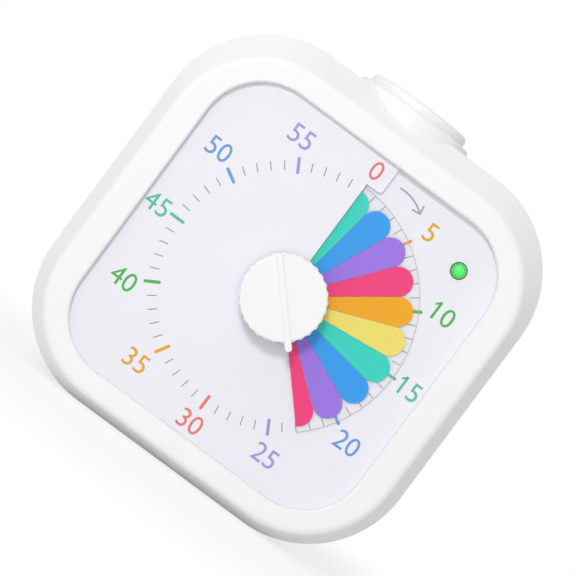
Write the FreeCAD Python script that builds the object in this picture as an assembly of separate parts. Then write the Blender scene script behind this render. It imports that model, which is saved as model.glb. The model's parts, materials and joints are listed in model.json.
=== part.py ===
import FreeCAD, Part
import math
import os
from FreeCAD import Vector

# Visual countdown timer, in millimetres.
# It is drawn lying on its back: x to the right, y up the dial, z out of the dial,
# with the dial's centre at x = y = 0 and the middle of the casing's depth at z = 0.
# At the end every piece is stood up, so that +Z is up, the dial looks towards -Y
# and the origin is on the table under the middle of the casing.

# Window, whose size sets those of the face and the casing round it
window_half = 51.5
window_corner = 20.0

# Front face, which borders the window
side_border = 8.8
top_border = 7.1
bottom_border = 6.9
face_half_width = window_half + side_border
face_top = window_half + top_border
face_bottom = window_half + bottom_border
face_corner = 30.0
face_thickness = 2.4
face_edge_round = 2.4

# Casing outline, measured from the dial's centre: the flanks flare back to it from the face
side_flare = 4.7
top_flare = 7.9
bottom_flare = 3.8
casing_half_width = face_half_width + side_flare
casing_top = face_top + top_flare
casing_bottom = face_bottom + bottom_flare
casing_corner = 34.0
casing_depth = 48.0
wall = 2.2
rear_edge_round = 5.0
flank_depth = 9.0
flank_wall_inset = 1.5
seam_below_flank = 2.0
seam_lip = 1.6
seam_clearance = 0.1

# Window's rim, and the dial behind it
window_edge_chamfer = 0.5
window_rim = 1.8
dial_recess = 4.8
dial_overlap = 3.0
dial_rim_depth = 3.2
dial_sheet = 0.8
dial_bore = 9.0
rim_clearance = 0.15
tab_width = 5.2
tab_start = 42.0
tab_fillet = 1.2

# Colour disc: a thin film that climbs once round the dial like a spiral ramp
disc_radius = 41.0
disc_thickness = 0.3
disc_clearance = 0.3
disc_pocket_clearance = 1.2
set_angle = 138.0
hub_radius = 6.0
hub_below = 0.6
hub_above = 0.8

# Knob
knob_radius = 13.3
knob_height = 9.7
knob_gap = 0.5
knob_wall = 1.7
knob_edge_chamfer = 0.6
scallop_count = 30
scallop_radius = 1.9
scallop_depth = 0.35
rib_width = 2.2
rib_height = 1.1
pointer_reach = 16.0

# Spindle, its bush and the flats that the disc's hub slides along
spindle_radius = 2.5
spindle_flat = 2.0
spindle_pivot = 1.25
running_clearance = 0.05
bush_radius = 4.0
bush_flange_radius = 5.0
bush_flange = 0.8
bush_tail = 2.5

# Chassis plate behind the dial, and the screws that clamp it between the shells
chassis_thickness = 2.0
chassis_clearance = 0.4
boss_inset = 1.1
boss_offset = window_half - boss_inset
boss_radius = 3.2
boss_bite = 3.8
boss_cover = 0.8
ear_margin = 1.5
screw_shank = 1.4
screw_length = 13.0
screw_head_radius = 2.6
screw_head = 2.0
rear_boss_radius = 4.2
screw_seat_depth = 8.0
screw_play = 0.2

# Movement: a box behind the chassis with a wheel on the spindle, a pinion and a motor
movement_half_width = 20.0
movement_top = 17.0
movement_bottom = 27.5
movement_gap = 1.4
movement_wall = 1.4
movement_corner = 4.2
gear_module = 0.5
wheel_teeth = 56
pinion_teeth = 14
gear_width = 3.0
pinion_width = 4.0
tooth_backlash = 0.12
tooth_addendum = 0.9
tooth_dedendum = 1.25
pressure_angle = 20.0
gear_back_gap = 6.5
wheel_boss_radius = 5.0
wheel_boss = 2.0
motor_radius = 7.0
motor_shaft_radius = 0.75
motor_gap = 1.0
lug_reach = 4.0
lug_half_width = 2.5
lug_inset = 5.0
lug_thickness = 2.0
small_screw_radius = 1.0
small_screw_length = 3.4
small_head_radius = 1.9
small_head = 1.3
small_screw_bite = 1.4

# Lamp
lamp_from_side = 13.8
lamp_from_top = 14.0
lamp_x = window_half - lamp_from_side
lamp_y = window_half - lamp_from_top
lamp_radius = 2.5
lamp_flange_radius = 2.9
lamp_flange = 1.0
lamp_length = 7.6
lamp_hole_clearance = 0.2
lamp_lead = 0.5
lamp_lead_pitch = 2.54

# Top button, on a round seat that rises from the casing's top
seat_radius = 20.0
seat_rise = 1.9
seat_edge_chamfer = 0.5
button_radius = 17.35
button_rise = 3.1
button_clearance = 0.25
button_top = 2.0
button_skirt_wall = 1.6
button_skirt = 11.0
button_edge_round = 1.5
button_travel = 1.2
button_stem_radius = 3.0
stem_gap = 1.25
button_lug_reach = 1.6
button_lug = 1.8
button_lug_width = 6.0
spring_radius = 7.0
spring_wire = 0.4
spring_turns = 5

# Button board, held in the grooves of two ribs of the rear shell
button_board_gap = 0.7
button_board_thickness = 1.2
button_board_half_width = 14.6
button_board_front = 10.0
button_board_back = 14.0
rib_thickness = 2.0
rib_below = 3.0
rib_above = 1.6
groove_depth = 0.7
groove_clearance = 0.1
key_switch_half = 3.0
key_switch_height = 3.5
key_plunger_radius = 1.75

# Battery bay, two AA cells side by side
cell_radius = 7.1
cell_length = 49.5
cell_nub_radius = 2.75
cell_edge_chamfer = 0.5
cell_gap = 0.3
cell_nub = 1.0
cell_pitch = 14.8
cell_spring_room = 5.5
bay_centre = -36.0
bay_margin = 0.9
bay_wall = 1.6
bay_depth = 15.2
contact_plate = 0.5
bay_half_length = (cell_length + cell_nub + cell_spring_room) / 2 + contact_plate
contact_half = 4.5
contact_spring_radius = 3.2
contact_spring_wire = 0.4
contact_spring_turns = 4

# Battery door, which tips out about its lower outer edge
door_thickness = 2.0
door_ledge = 1.0
door_clearance = 0.25
door_tab_half_width = 6.0
door_tab_height = 4.0
door_hook_half_width = 3.0
door_hook_offset = 18.0
door_hook_drop = 1.2
door_hook_thickness = 0.8
door_hook_gap = 0.4
door_hook_root = 2.0
door_hook_bite = 0.2
door_hollow_radius = 6.0
door_hollow_depth = 0.8

# Main board, volume switch and its slider
board_left = -8.0
board_beyond_lamp = 6.3
board_right = lamp_x + board_beyond_lamp
board_bottom = 14.0
board_above_lamp = 8.5
board_top = lamp_y + board_above_lamp
board_thickness = 1.6
board_height = 5.8
board_post_radius = 2.6
board_post_inset = 3.5
slider_x = 14.0
slider_y = 32.0
slider_half_length = 2.2
slider_half_width = 1.6
slider_rise = 1.0
slider_travel = 2.0
slider_clearance = 0.25
slider_flange = 1.0
slider_flange_half_length = 6.5
slider_flange_half_width = 2.8
slider_gap = 0.15
slider_groove = 0.55
slider_groove_pitch = 1.32
switch_gap = 0.3
switch_half_length = 5.5
switch_half_width = 2.8

# Speaker behind its sound holes
speaker_from_side = 33.0
speaker_from_top = 35.5
speaker_x = speaker_from_side - casing_half_width
speaker_y = casing_top - speaker_from_top
speaker_radius = 14.0
speaker_depth = 5.0
speaker_ring = 1.4
speaker_clearance = 0.2
speaker_magnet_radius = 8.0
speaker_magnet = 3.0
sound_hole_radius = 1.0
sound_hole_pitch = 3.6
sound_hole_rings = 3

# Levels worked out from the sizes above
front = casing_depth / 2
back = -casing_depth / 2
flank_end = front - flank_depth
seam = flank_end - seam_below_flank
inner_back = back + wall
dial_low = front - dial_recess
dial_pitch = dial_sheet + disc_thickness + 2 * disc_clearance
dial_half = window_half + dial_overlap
dial_corner = window_corner + dial_overlap
dial_seat = dial_low - dial_rim_depth
chassis_back = dial_seat - chassis_thickness
disc_level = dial_low + disc_clearance
disc_pocket = disc_radius + disc_pocket_clearance
swept = dial_pitch * (set_angle / 360)
unswept = dial_pitch - swept
disc_highest = dial_low + dial_pitch + disc_clearance + disc_thickness
hub_bottom = disc_level - unswept - hub_below
hub_top = disc_level + disc_thickness + swept + hub_above
hub_highest = hub_top + unswept
knob_base = disc_highest + knob_gap
knob_face = knob_base + knob_height
spindle_front = knob_face - knob_wall
door_back = back + door_thickness
bay_floor = door_back + bay_depth
movement_back = bay_floor + bay_wall + movement_gap
movement_floor = movement_back + movement_wall
wheel_back = movement_floor + gear_back_gap
wheel_pitch_radius = gear_module * wheel_teeth / 2
pinion_pitch_radius = gear_module * pinion_teeth / 2
gear_centres = wheel_pitch_radius + pinion_pitch_radius
clamp_seat = chassis_back - screw_seat_depth
button_ceiling = casing_top + seat_rise + button_rise - button_top
button_crown = button_ceiling + button_top
button_board_top = (button_crown - button_skirt - button_travel - rib_above
                    - button_board_gap)
bay_half_height = cell_pitch / 2 + cell_radius + bay_margin
door_half_length = bay_half_length + door_ledge
door_bottom = bay_centre - bay_half_height - door_ledge
door_top = bay_centre + bay_half_height + door_ledge
board_back = inner_back + board_height
slider_flange_back = inner_back + slider_gap
big = 4 * casing_half_width


def slab(x0, x1, y0, y1, z0, z1):
    return Part.makeBox(x1 - x0, y1 - y0, z1 - z0, Vector(x0, y0, z0))


def rod(x, y, z0, z1, radius):
    return Part.makeCylinder(radius, z1 - z0, Vector(x, y, z0))


def upright_rod(x, z, y0, y1, radius):
    return Part.makeCylinder(radius, y1 - y0, Vector(x, y0, z), Vector(0, 1, 0))


def rounded_outline(x0, x1, y0, y1, radius, z):
    """Closed rounded rectangle at height z: four straight sides and four arcs."""
    half = radius * math.sqrt(0.5)
    corners = [
        (Vector(x1 - radius, y0 + radius, z), 1, -1),
        (Vector(x1 - radius, y1 - radius, z), 1, 1),
        (Vector(x0 + radius, y1 - radius, z), -1, 1),
        (Vector(x0 + radius, y0 + radius, z), -1, -1),
    ]
    arcs = []
    for centre, sx, sy in corners:
        on_side = centre + Vector(sx * radius, 0, 0)
        on_end = centre + Vector(0, sy * radius, 0)
        middle = centre + Vector(sx * half, sy * half, 0)
        first, last = (on_end, on_side) if sx * sy < 0 else (on_side, on_end)
        arcs.append(Part.Arc(first, middle, last).toShape())
    edges = []
    for arc, following in zip(arcs, arcs[1:] + arcs[:1]):
        edges.append(arc)
        edges.append(Part.makeLine(arc.Vertexes[-1].Point, following.Vertexes[0].Point))
    return Part.Wire(edges)


def casing_outline(inset, z):
    return rounded_outline(
        inset - casing_half_width, casing_half_width - inset,
        inset - casing_bottom, casing_top - inset, casing_corner - inset, z,
    )


def face_outline(inset, z):
    return rounded_outline(
        inset - face_half_width, face_half_width - inset,
        inset - face_bottom, face_top - inset, face_corner - inset, z,
    )


def square_outline(half, radius, z):
    return rounded_outline(-half, half, -half, half, radius, z)


def prism(outline, height):
    return Part.Face(outline).extrude(Vector(0, 0, height))


def tapered(lower, upper):
    return Part.makeLoft([lower, upper], True, True)


def fillet_where(shape, radius, chosen):
    edges = [edge for edge in shape.Edges if chosen(edge)]
    return shape.makeFillet(radius, edges)


def level_edges(z, reach=0.0):
    """Picks the edges that lie at height z and beyond reach from the axis."""
    def chosen(edge):
        box = edge.BoundBox
        far = max(abs(box.XMin), abs(box.XMax), abs(box.YMin), abs(box.YMax))
        return abs(box.ZMin - z) < 1e-4 and abs(box.ZMax - z) < 1e-4 and far > reach
    return chosen


def on_dial(radius, clockwise):
    """Point at an angle in degrees, clockwise from twelve o'clock."""
    angle = math.radians(clockwise)
    return radius * math.sin(angle), radius * math.cos(angle)


def spiral(inner, outer, low, high, start, end):
    """Ring sector that climbs one dial pitch a turn, clockwise from start to end."""
    turns = (end - start) / 360
    helix = Part.makeHelix(dial_pitch, dial_pitch * turns, (inner + outer) / 2, 0, True)
    # The section starts at the helix's foot, so that it is swept up from there
    thickness = high - low
    section = Part.makePolygon([
        Vector(inner, 0, 0), Vector(outer, 0, 0), Vector(outer, 0, thickness),
        Vector(inner, 0, thickness), Vector(inner, 0, 0),
    ])
    ramp = Part.Wire(helix.Edges).makePipeShell([section], True, True)
    ramp.rotate(Vector(0, 0, 0), Vector(0, 0, 1), 90 - start)
    ramp.translate(Vector(0, 0, low + dial_pitch * start / 360))
    return ramp


def half_turns(inner, outer, low, high):
    return [spiral(inner, outer, low, high, 180 * n, 180 * (n + 1)) for n in range(2)]


def boss_places():
    return [(sx * boss_offset, sy * boss_offset) for sx in (-1, 1) for sy in (-1, 1)]


# Casing

def casing_body():
    """Outer form of both shells: flared flanks, rounded rear edge, round button seat."""
    box = prism(casing_outline(0, back), flank_end - back)
    box = fillet_where(box, rear_edge_round, level_edges(back))
    flanks = tapered(casing_outline(0, flank_end), face_outline(0, front))
    flanks = fillet_where(flanks, face_edge_round, level_edges(front))
    body = box.fuse(flanks).removeSplitter()
    seat = upright_rod(0, 0, 0, casing_top + seat_rise, seat_radius)
    seat = seat.makeChamfer(seat_edge_chamfer, [rim for rim in seat.Edges
                                                if rim.BoundBox.YMin > casing_top + 1])
    body = body.fuse(seat.cut(rod(0, 0, back, front, window_half)))
    return body


def casing_cavity():
    """Hollow of both shells, one wall inside the outer form."""
    box = prism(casing_outline(wall, inner_back), flank_end - inner_back)
    inner_front = face_outline(flank_wall_inset, front - face_thickness)
    return box.fuse(tapered(casing_outline(wall, flank_end), inner_front))


def button_well():
    return upright_rod(0, 0, dial_half, button_crown, button_radius + button_clearance)


def seam_lip_ring(outer_inset, inner_inset, height):
    outer = prism(casing_outline(outer_inset, seam), height)
    return outer.cut(prism(casing_outline(inner_inset, seam), height))


def dial_body():
    """The dial before it is hollowed: a thick square whose top is a one-turn ramp."""
    top = dial_low + dial_pitch + 1
    body = prism(square_outline(dial_half, dial_corner, dial_seat), top - dial_seat)
    body = body.cut(rod(0, 0, dial_seat, top, dial_bore))
    body = body.cut(half_turns(dial_bore - 1, 2 * dial_half, dial_low, dial_low + 2 * dial_pitch))
    tab = slab(0, tab_width, tab_start, dial_half, dial_seat, dial_low + dial_pitch)
    corner = [edge for edge in tab.Edges if abs(edge.BoundBox.XMin - tab_width) < 1e-6
              and abs(edge.BoundBox.YMax - tab_start) < 1e-6 and edge.BoundBox.ZLength > 1]
    return body.fuse(tab.makeFillet(tab_fillet, corner))


def front_frame():
    body = casing_body()
    shell = body.cut(casing_cavity())
    shell = shell.common(slab(-big, big, -big, big, seam, big))
    rim = prism(square_outline(window_half + window_rim, window_corner + window_rim, dial_low),
                front - face_thickness / 2 - dial_low)
    dial = dial_body()
    dial.translate(Vector(0, 0, rim_clearance))
    dial_hole = rod(0, 0, dial_low - dial_pitch, front, dial_bore + 1)
    shell = shell.fuse(rim.cut(dial).cut(dial_hole))
    for x, y in boss_places():
        boss = rod(x, y, dial_seat, dial_seat + boss_bite + boss_cover, boss_radius)
        shell = shell.fuse(boss.common(body))
    window = prism(square_outline(window_half, window_corner, dial_low - 1), casing_depth)
    break_edge = tapered(square_outline(window_half, window_corner, front - window_edge_chamfer),
                         square_outline(window_half + window_edge_chamfer,
                                        window_corner + window_edge_chamfer, front))
    shell = shell.cut(window.fuse(break_edge)).cut(button_well())
    for x, y in boss_places():
        shell = shell.cut(rod(x, y, dial_seat - 1, dial_seat + boss_bite, screw_shank))
    lip_room = seam_lip_ring(wall / 2 - seam_clearance, wall + 1, seam_lip + seam_clearance)
    return shell.cut(lip_room)


def bay_outline(grow, z):
    return slab(-bay_half_length - grow, bay_half_length + grow,
                bay_centre - bay_half_height - grow, bay_centre + bay_half_height + grow,
                z, bay_floor)


def rear_shell():
    body = casing_body()
    shell = body.cut(casing_cavity())
    shell = shell.common(slab(-big, big, -big, big, -big, seam))
    shell = shell.fuse(seam_lip_ring(wall / 2, wall, seam_lip))
    shell = shell.cut(button_well())
    # Bosses for the screws that clamp both shells and the chassis together
    for x, y in boss_places():
        boss = rod(x, y, inner_back - wall / 2, chassis_back, rear_boss_radius)
        shell = shell.fuse(boss.common(body))
    for x, y in boss_places():
        shell = shell.cut(rod(x, y, back - 1, clamp_seat, screw_head_radius + screw_play))
        shell = shell.cut(rod(x, y, back - 1, chassis_back + 1, screw_shank + screw_play))
    # Battery bay, its door opening and the pockets for the door's hooks
    bay = slab(-bay_half_length - bay_wall, bay_half_length + bay_wall,
               bay_centre - bay_half_height - bay_wall, bay_centre + bay_half_height + bay_wall,
               door_back, bay_floor + bay_wall)
    shell = shell.fuse(bay).cut(bay_outline(0, back - 1))
    shell = shell.cut(slab(-door_half_length, door_half_length, door_bottom, door_top,
                           back - 1, door_back))
    shell = shell.cut(slab(-door_tab_half_width - door_clearance,
                           door_tab_half_width + door_clearance,
                           door_top - 1, door_top + door_tab_height, back - 1, inner_back + 1))
    for side in (-1, 1):
        x = side * door_hook_offset
        shell = shell.cut(slab(x - door_hook_half_width - door_clearance,
                               x + door_hook_half_width + door_clearance,
                               door_bottom - door_hook_drop - door_clearance,
                               bay_centre, inner_back, inner_back + 2 * door_hook_root))
    # Ribs that hold the button board
    for side in (-1, 1):
        edge = side * button_board_half_width
        rib = slab(min(edge, edge + side * rib_thickness) - (groove_depth if side > 0 else 0),
                   max(edge, edge + side * rib_thickness) + (groove_depth if side < 0 else 0),
                   button_board_top - button_board_thickness - rib_below,
                   button_board_top + rib_above, inner_back - wall / 2, button_board_front)
        shell = shell.fuse(rib)
    groove = slab(-button_board_half_width - groove_clearance,
                  button_board_half_width + groove_clearance,
                  button_board_top - button_board_thickness - groove_clearance,
                  button_board_top + groove_clearance,
                  -button_board_back - groove_clearance, button_board_front)
    shell = shell.cut(groove)
    # Posts for the main board, with pilot holes
    for x, y in board_posts():
        post = rod(x, y, inner_back - wall / 2, board_back, board_post_radius)
        shell = shell.fuse(post)
        shell = shell.cut(rod(x, y, board_back - small_screw_length, board_back, small_screw_radius))
    # Ring round the speaker, and its sound holes
    ring_outer = speaker_radius + speaker_clearance + speaker_ring
    ring = rod(speaker_x, speaker_y, inner_back - wall / 2, inner_back + speaker_depth, ring_outer)
    ring = ring.cut(rod(speaker_x, speaker_y, inner_back, inner_back + speaker_depth + 1,
                        speaker_radius + speaker_clearance))
    shell = shell.fuse(ring)
    for x, y in sound_holes():
        shell = shell.cut(rod(x, y, back - 1, inner_back + 1, sound_hole_radius))
    # Slot for the volume slider
    slot_half = slider_half_length + slider_travel + slider_clearance
    return shell.cut(slab(slider_x - slot_half, slider_x + slot_half,
                          slider_y - slider_half_width - slider_clearance,
                          slider_y + slider_half_width + slider_clearance,
                          back - 1, inner_back + 1))


def board_posts():
    return [(x, y) for x in (board_left + board_post_inset, board_right - board_post_inset)
            for y in (board_bottom + board_post_inset, board_top - board_post_inset)]


def sound_holes():
    places = [(speaker_x, speaker_y)]
    for ring in range(1, sound_hole_rings):
        count = 6 * ring
        for n in range(count):
            dx, dy = on_dial(ring * sound_hole_pitch, 360 * n / count)
            places.append((speaker_x + dx, speaker_y + dy))
    return places


# Dial, colour disc and chassis

def dial_plate():
    """The ramp is one turn of a spiral, so its high end passes over its low end."""
    plate = dial_body()
    low = dial_low - dial_rim_depth - 2 * dial_pitch
    plate = plate.cut(half_turns(dial_bore - 1, disc_pocket, low, dial_low - dial_sheet))
    return plate.cut(rod(lamp_x, lamp_y, dial_seat - 1, front, lamp_radius + lamp_hole_clearance))


def colour_disc():
    return spiral(hub_radius, disc_radius, disc_level, disc_level + disc_thickness,
                  set_angle - 360, set_angle)


def flats(shape, flat, z0, z1):
    """Cuts two flats, facing +y and -y, between two heights."""
    for side in (-1, 1):
        y0, y1 = sorted((side * flat, side * big))
        shape = shape.cut(slab(-big, big, y0, y1, z0, z1))
    return shape


def disc_hub():
    ring = rod(0, 0, hub_bottom, hub_top, hub_radius)
    bore = rod(0, 0, hub_bottom - 1, hub_top + 1, spindle_radius + running_clearance)
    return ring.cut(flats(bore, spindle_flat + running_clearance, hub_bottom - 1, hub_top + 1))


def chassis_plate():
    plate = prism(square_outline(dial_half, dial_corner, chassis_back), chassis_thickness)
    for x, y in boss_places():
        plate = plate.fuse(rod(x, y, chassis_back, dial_seat, boss_radius + ear_margin))
    inside = casing_outline(wall + chassis_clearance, chassis_back)
    plate = plate.common(prism(inside, chassis_thickness))
    for x, y in boss_places():
        plate = plate.cut(rod(x, y, chassis_back - 1, dial_seat + 1, screw_shank + screw_play))
    plate = plate.cut(rod(0, 0, chassis_back - 1, dial_seat + 1, bush_radius))
    plate = plate.cut(rod(lamp_x, lamp_y, chassis_back - 1, dial_seat + 1,
                          lamp_radius + lamp_hole_clearance))
    for x, y in movement_lugs():
        plate = plate.cut(rod(x, y, chassis_back - 1, chassis_back + small_screw_bite,
                              small_screw_radius))
    return plate


def case_screws():
    screws = []
    for x, y in boss_places():
        head = rod(x, y, clamp_seat - screw_head, clamp_seat, screw_head_radius)
        shank = rod(x, y, clamp_seat, clamp_seat + screw_length, screw_shank)
        screws.append(head.fuse(shank))
    return Part.makeCompound(screws)


# Spindle, movement and gears

def spindle_bush():
    bush = rod(0, 0, chassis_back - bush_tail, dial_seat, bush_radius)
    bush = bush.fuse(rod(0, 0, dial_seat, dial_seat + bush_flange, bush_flange_radius))
    bore = spindle_radius + running_clearance
    return bush.cut(rod(0, 0, chassis_back - bush_tail - 1, dial_seat + bush_flange + 1, bore))


def spindle():
    shaft = rod(0, 0, movement_floor + wheel_boss, spindle_front, spindle_radius)
    shaft = shaft.fuse(rod(0, 0, movement_floor - movement_wall / 2,
                           movement_floor + wheel_boss, spindle_pivot))
    return flats(shaft, spindle_flat, dial_seat + bush_flange, spindle_front + 1)


def involute_point(base_radius, radius, offset):
    """Point of an involute that starts at angle offset on its base circle."""
    roll = math.sqrt(max((radius / base_radius) ** 2 - 1, 0))
    angle = offset + roll - math.atan(roll)
    return radius * math.cos(angle), radius * math.sin(angle)


def gear(teeth, width, z):
    """Spur gear with involute flanks, its first tooth on the +x axis."""
    pitch_radius = gear_module * teeth / 2
    base_radius = pitch_radius * math.cos(math.radians(pressure_angle))
    tip_radius = pitch_radius + tooth_addendum * gear_module
    root_radius = pitch_radius - tooth_dedendum * gear_module
    pitch_roll = math.tan(math.radians(pressure_angle)) - math.radians(pressure_angle)
    half_tooth = math.pi / 2 / teeth - tooth_backlash / 2 / pitch_radius
    start = half_tooth + pitch_roll
    flank = [max(base_radius, root_radius), pitch_radius, tip_radius]
    rising = [involute_point(base_radius, radius, -start) for radius in flank]
    rising.insert(0, (root_radius * math.cos(start), -root_radius * math.sin(start)))
    outline = rising + [(x, -y) for x, y in reversed(rising)]
    points = []
    for n in range(teeth):
        turn = 2 * math.pi * n / teeth
        for x, y in outline:
            points.append(Vector(x * math.cos(turn) - y * math.sin(turn),
                                 x * math.sin(turn) + y * math.cos(turn), z))
    return prism(Part.makePolygon(points + points[:1]), width)


def drive_wheel():
    wheel = gear(wheel_teeth, gear_width, wheel_back)
    wheel = wheel.fuse(rod(0, 0, wheel_back - wheel_boss, wheel_back, wheel_boss_radius))
    return wheel.cut(rod(0, 0, wheel_back - wheel_boss - 1, wheel_back + gear_width + 1,
                         spindle_radius))


def motor_pinion():
    """A gap between teeth faces the wheel's lowest tooth."""
    pinion = gear(pinion_teeth, pinion_width, wheel_back - (pinion_width - gear_width) / 2)
    pinion.rotate(Vector(0, 0, 0), Vector(0, 0, 1), 90 + 180 / pinion_teeth)
    pinion = pinion.cut(rod(0, 0, 0, big, motor_shaft_radius + running_clearance))
    pinion.translate(Vector(0, -gear_centres, 0))
    return pinion


def drive_motor():
    pinion_back = wheel_back - (pinion_width - gear_width) / 2
    can = rod(0, -gear_centres, movement_floor, pinion_back - motor_gap, motor_radius)
    shaft = rod(0, -gear_centres, pinion_back - motor_gap, pinion_back + pinion_width,
                motor_shaft_radius)
    return can.fuse(shaft)


def movement_lugs():
    x = movement_half_width + lug_reach / 2
    return [(sx * x, y) for sx in (-1, 1) for y in (movement_top - lug_inset, lug_inset - movement_bottom)]


def movement_case():
    box = slab(-movement_half_width, movement_half_width, -movement_bottom, movement_top,
               movement_back, chassis_back)
    box = fillet_where(box, movement_corner, lambda edge: edge.BoundBox.ZLength > 1)
    room = slab(movement_wall - movement_half_width, movement_half_width - movement_wall,
                movement_wall - movement_bottom, movement_top - movement_wall,
                movement_floor, chassis_back + 1)
    room = fillet_where(room, movement_corner - movement_wall, lambda edge: edge.BoundBox.ZLength > 1)
    case = box.cut(room)
    for x, y in movement_lugs():
        side = math.copysign(1, x)
        lug = slab(min(x - side * lug_reach, x), max(x - side * lug_reach, x),
                   y - lug_half_width, y + lug_half_width,
                   chassis_back - lug_thickness, chassis_back)
        lug = lug.fuse(rod(x, y, chassis_back - lug_thickness, chassis_back, lug_half_width))
        case = case.fuse(lug.cut(room))
        case = case.cut(rod(x, y, chassis_back - lug_thickness - 1, chassis_back + 1,
                            small_screw_radius + screw_play / 2))
    bearing = rod(0, 0, movement_floor, movement_floor + wheel_boss - screw_play,
                  wheel_boss_radius)
    case = case.fuse(bearing)
    return case.cut(rod(0, 0, movement_floor - movement_wall / 2 - running_clearance,
                        movement_floor + wheel_boss, spindle_pivot + running_clearance))


def movement_screws():
    screws = []
    for x, y in movement_lugs():
        seat = chassis_back - lug_thickness
        head = rod(x, y, seat - small_head, seat, small_head_radius)
        screws.append(head.fuse(rod(x, y, seat, seat + small_screw_length, small_screw_radius)))
    return Part.makeCompound(screws)


# Knob

def knob():
    body = rod(0, 0, knob_base, knob_face, knob_radius)
    cutters = []
    for n in range(scallop_count):
        x, y = on_dial(knob_radius + scallop_radius - scallop_depth, 360 * (n + 0.5) / scallop_count)
        cutters.append(rod(x, y, knob_base - 1, knob_face + 1, scallop_radius))
    edge = level_edges(knob_face)
    body = body.makeChamfer(knob_edge_chamfer, [rim for rim in body.Edges if edge(rim)])
    body = body.cut(cutters)
    # Rib across the face, which runs on past the edge as the pointer
    rib = slab(-rib_width / 2, rib_width / 2, -knob_radius, pointer_reach - rib_width / 2,
               knob_face - knob_wall, knob_face + rib_height)
    fin = slab(-rib_width / 2, rib_width / 2, knob_radius - knob_wall,
               pointer_reach - rib_width / 2, knob_base, knob_face)
    tip = rod(0, pointer_reach - rib_width / 2, knob_base, knob_face + rib_height, rib_width / 2)
    pointer = rib.fuse([fin, tip]).removeSplitter()
    pointer = fillet_where(pointer, rib_width / 4, level_edges(knob_face + rib_height))
    pointer.rotate(Vector(0, 0, 0), Vector(0, 0, 1), -set_angle)
    body = body.fuse(pointer)
    # Hollow underside round the boss that grips the spindle's flats
    room = rod(0, 0, knob_base - 1, knob_face - knob_wall, knob_radius - knob_wall)
    boss = rod(0, 0, hub_highest + knob_gap, knob_face, hub_radius - knob_wall)
    body = body.cut(room.cut(boss))
    bore = flats(rod(0, 0, knob_base - 1, spindle_front, spindle_radius), spindle_flat,
                 knob_base - 1, spindle_front)
    return body.cut(bore)


# Lamp, boards and speaker

def led_lamp():
    dome_centre = chassis_back + lamp_length - lamp_radius
    lamp = rod(lamp_x, lamp_y, chassis_back, dome_centre, lamp_radius)
    lamp = lamp.fuse(Part.makeSphere(lamp_radius, Vector(lamp_x, lamp_y, dome_centre)))
    lamp = lamp.fuse(rod(lamp_x, lamp_y, chassis_back - lamp_flange, chassis_back,
                         lamp_flange_radius))
    for side in (-1, 1):
        x = lamp_x + side * lamp_lead_pitch / 2
        lamp = lamp.fuse(slab(x - lamp_lead / 2, x + lamp_lead / 2,
                              lamp_y - lamp_lead / 2, lamp_y + lamp_lead / 2,
                              board_back, chassis_back - lamp_flange))
    return lamp


def main_board():
    board = slab(board_left, board_right, board_bottom, board_top,
                 board_back, board_back + board_thickness)
    for x, y in board_posts():
        board = board.cut(rod(x, y, board_back - 1, board_back + board_thickness + 1,
                              small_screw_radius + screw_play / 2))
    for side in (-1, 1):
        x = lamp_x + side * lamp_lead_pitch / 2
        board = board.cut(slab(x - lamp_lead / 2, x + lamp_lead / 2,
                               lamp_y - lamp_lead / 2, lamp_y + lamp_lead / 2,
                               board_back - 1, board_back + board_thickness + 1))
    return board


def board_screws():
    screws = []
    for x, y in board_posts():
        seat = board_back + board_thickness
        head = rod(x, y, seat, seat + small_head, small_head_radius)
        screws.append(head.fuse(rod(x, y, seat - small_screw_length, seat, small_screw_radius)))
    return Part.makeCompound(screws)


def volume_switch():
    return slab(slider_x - switch_half_length, slider_x + switch_half_length,
                slider_y - switch_half_width, slider_y + switch_half_width,
                slider_flange_back + slider_flange + switch_gap, board_back)


def volume_slider():
    flange = slab(slider_x - slider_flange_half_length, slider_x + slider_flange_half_length,
                  slider_y - slider_flange_half_width, slider_y + slider_flange_half_width,
                  slider_flange_back, slider_flange_back + slider_flange)
    nub = slab(slider_x - slider_half_length, slider_x + slider_half_length,
               slider_y - slider_half_width, slider_y + slider_half_width,
               back - slider_rise, slider_flange_back)
    # Finger ridges across the nub
    for n in (-1, 0, 1):
        x = slider_x + n * slider_groove_pitch
        nub = nub.cut(slab(x - slider_groove / 2, x + slider_groove / 2,
                           slider_y - big, slider_y + big, back - big, back - slider_rise / 2))
    return flange.fuse(nub)


def speaker():
    can = rod(speaker_x, speaker_y, inner_back, inner_back + speaker_depth, speaker_radius)
    rim = level_edges(inner_back + speaker_depth)
    can = can.makeChamfer(speaker_depth / 4, [edge for edge in can.Edges if rim(edge)])
    magnet = rod(speaker_x, speaker_y, inner_back + speaker_depth,
                 inner_back + speaker_depth + speaker_magnet, speaker_magnet_radius)
    return can.fuse(magnet)


# Top button

def button_cap():
    radius = button_radius
    foot = button_crown - button_skirt
    cap = upright_rod(0, 0, foot, button_crown, radius)
    top = [edge for edge in cap.Edges if abs(edge.BoundBox.YMin - button_crown) < 1e-6]
    cap = cap.makeFillet(button_edge_round, top)
    cap = cap.cut(upright_rod(0, 0, foot - 1, button_ceiling, radius - button_skirt_wall))
    plunger_top = button_board_top + key_switch_height + button_travel
    stem = upright_rod(0, 0, plunger_top + stem_gap, button_crown - button_top / 2,
                       button_stem_radius)
    cap = cap.fuse(stem)
    lug_top = casing_top - wall - button_clearance
    for side in (-1, 1):
        x0, x1 = sorted((side * (radius - button_skirt_wall), side * (radius + button_lug_reach)))
        cap = cap.fuse(slab(x0, x1, lug_top - button_lug, lug_top,
                            -button_lug_width / 2, button_lug_width / 2))
    return cap


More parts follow.
